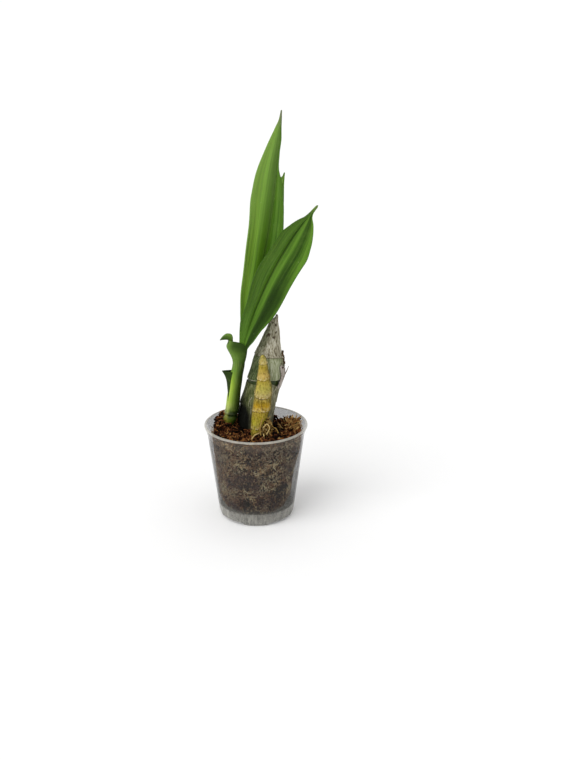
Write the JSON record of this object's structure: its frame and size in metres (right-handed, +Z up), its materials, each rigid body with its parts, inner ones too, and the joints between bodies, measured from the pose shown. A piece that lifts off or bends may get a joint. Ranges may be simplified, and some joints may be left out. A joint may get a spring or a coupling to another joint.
{
  "type": "potted orchid plant",
  "caption": "Young sympodial orchid with tall pleated leaves, an old sheathed pseudobulb and a small yellow back bulb, in a clear tapered nursery pot filled with coir.",
  "frame": {"origin": "middle of the bounding box on the plane that the pot stands on; the pot's own axis is 3.4 mm to the -X side of it", "axes": "+Z is up, along the pot's axis; +X is to the right and +Y is away from a viewer who sees the two bulbs with the yellow one in front and the new shoot at the left"},
  "size_m": [0.097, 0.09, 0.3493],
  "materials": {
    "clear_plastic": "frosted translucent polypropylene, smooth",
    "coir": "damp, coarse, chopped coir husk and fibre",
    "bulb_green": "smooth, slightly waxy living skin",
    "dry_sheath": "dry, papery, wrinkled lengthwise",
    "bulb_yellow": "waxy golden skin with brown specks",
    "root": "dry, matt, fibrous",
    "shoot_green": "smooth, slightly glossy",
    "leaf_green": "pleated, softly glossy, with fine parallel veins",
    "bract_green": "smooth, softly glossy"
  },
  "bodies": {
    "root": {"pot": "clear_plastic", "potting_mix": "coir", "pseudobulb": "bulb_green", "dry_sheath_top": "dry_sheath", "dry_sheath_middle": "dry_sheath", "dry_sheath_lower": "dry_sheath", "dry_sheath_base": "dry_sheath", "yellow_back_bulb": "bulb_yellow", "roots": "root", "new_shoot": "shoot_green", "leaf_tall": "leaf_green", "leaf_inner": "leaf_green", "leaf_front": "leaf_green", "bract_upper": "bract_green", "bract_lower": "bract_green"}
  },
  "joints": []
}
